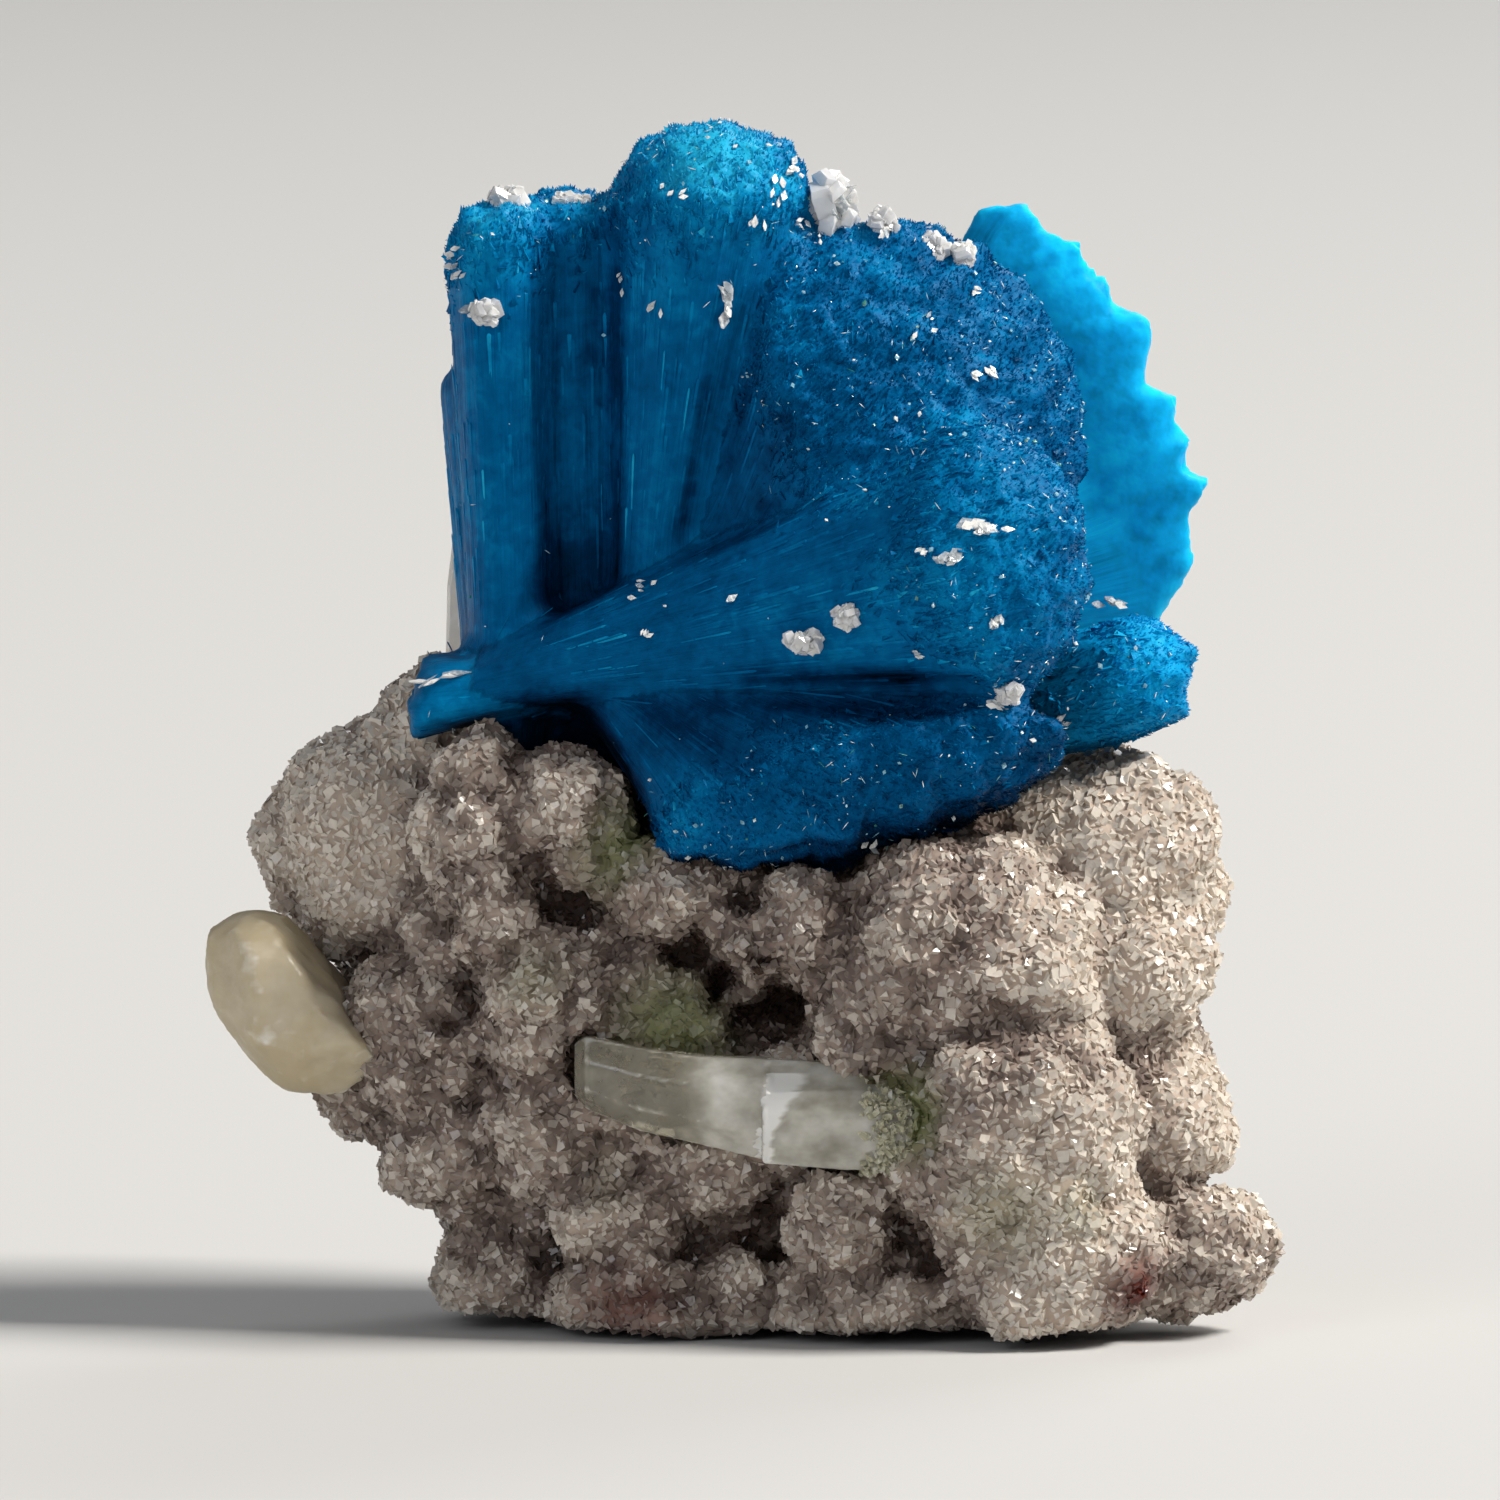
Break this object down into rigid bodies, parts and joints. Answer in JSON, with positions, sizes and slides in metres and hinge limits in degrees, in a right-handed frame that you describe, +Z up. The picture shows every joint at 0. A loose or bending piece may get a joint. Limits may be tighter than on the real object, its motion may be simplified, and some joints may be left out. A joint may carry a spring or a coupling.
{
  "type": "cavansite crystal cluster",
  "caption": "Deep blue fans of radiating cavansite needles on a druse-crusted matrix, with a clear stilbite prism and small white crystals.",
  "frame": {"origin": "in the middle of the flat base, on the surface that the specimen rests on", "axes": "+Z up, +X to the right of the front view, -Y towards the viewer"},
  "size_m": [0.0269, 0.0156, 0.0301],
  "materials": {
    "zeolite_crust": "matte",
    "cavansite": "satin",
    "clear_stilbite": "polished",
    "cream_stilbite": "satin",
    "white_zeolite": "gloss"
  },
  "bodies": {
    "root": {"matrix_rock": "zeolite_crust", "cavansite_spray": "cavansite", "stilbite_prism": "clear_stilbite", "cream_crystal": "cream_stilbite", "white_blade": "white_zeolite", "perched_crystal_01": "white_zeolite", "perched_crystal_02": "white_zeolite", "perched_crystal_03": "white_zeolite", "perched_crystal_04": "white_zeolite", "perched_crystal_05": "white_zeolite", "perched_crystal_06": "white_zeolite", "perched_crystal_07": "white_zeolite", "perched_crystal_08": "white_zeolite", "perched_crystal_09": "white_zeolite", "perched_crystal_10": "white_zeolite", "perched_crystal_11": "white_zeolite"}
  },
  "joints": []
}
